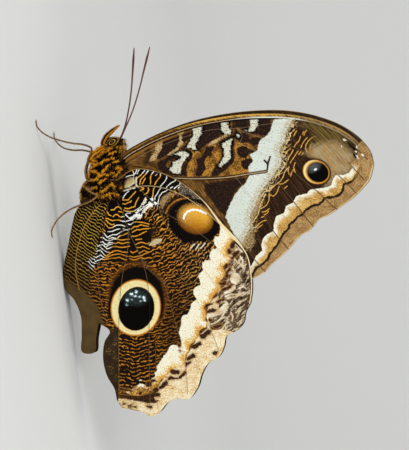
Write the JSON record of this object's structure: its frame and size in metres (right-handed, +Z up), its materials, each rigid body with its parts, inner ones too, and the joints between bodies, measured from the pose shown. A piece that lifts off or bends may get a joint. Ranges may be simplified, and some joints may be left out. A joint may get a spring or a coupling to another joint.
{
  "type": "owl butterfly",
  "caption": "Giant owl butterfly at rest, its wings closed over its back to show the round eyespots and pale scalloped bands of their undersides.",
  "frame": {"origin": "centre of the bounding box on the floor, which is the level of the feet and of the hindwings' lowest fold", "axes": "+X from the head to the tail, +Y to the insect's right side, +Z up from the floor through the back and the closed wings"},
  "size_m": [0.1183, 0.0295, 0.1036],
  "materials": {
    "wing_membrane": "dull overlapping scales in brown, black, cream and white",
    "body_fur": "short orange-brown and black fur",
    "legs_and_feelers": "dull scaled cuticle, tan to dark brown",
    "eye_facets": "glossy, banded brown and gold"
  },
  "bodies": {
    "root": {"abdomen": "body_fur", "antenna_left": "legs_and_feelers", "antenna_right": "legs_and_feelers", "eye_left": "eye_facets", "eye_right": "eye_facets", "foreleg_left": "legs_and_feelers", "foreleg_right": "legs_and_feelers", "forewing_left": "wing_membrane", "forewing_right": "wing_membrane", "head": "body_fur", "hindleg_left": "legs_and_feelers", "hindleg_right": "legs_and_feelers", "hindwing_left": "wing_membrane", "hindwing_right": "wing_membrane", "midleg_left": "legs_and_feelers", "midleg_right": "legs_and_feelers", "palp_left": "body_fur", "palp_right": "body_fur", "proboscis": "legs_and_feelers", "thorax": "body_fur"}
  },
  "joints": []
}
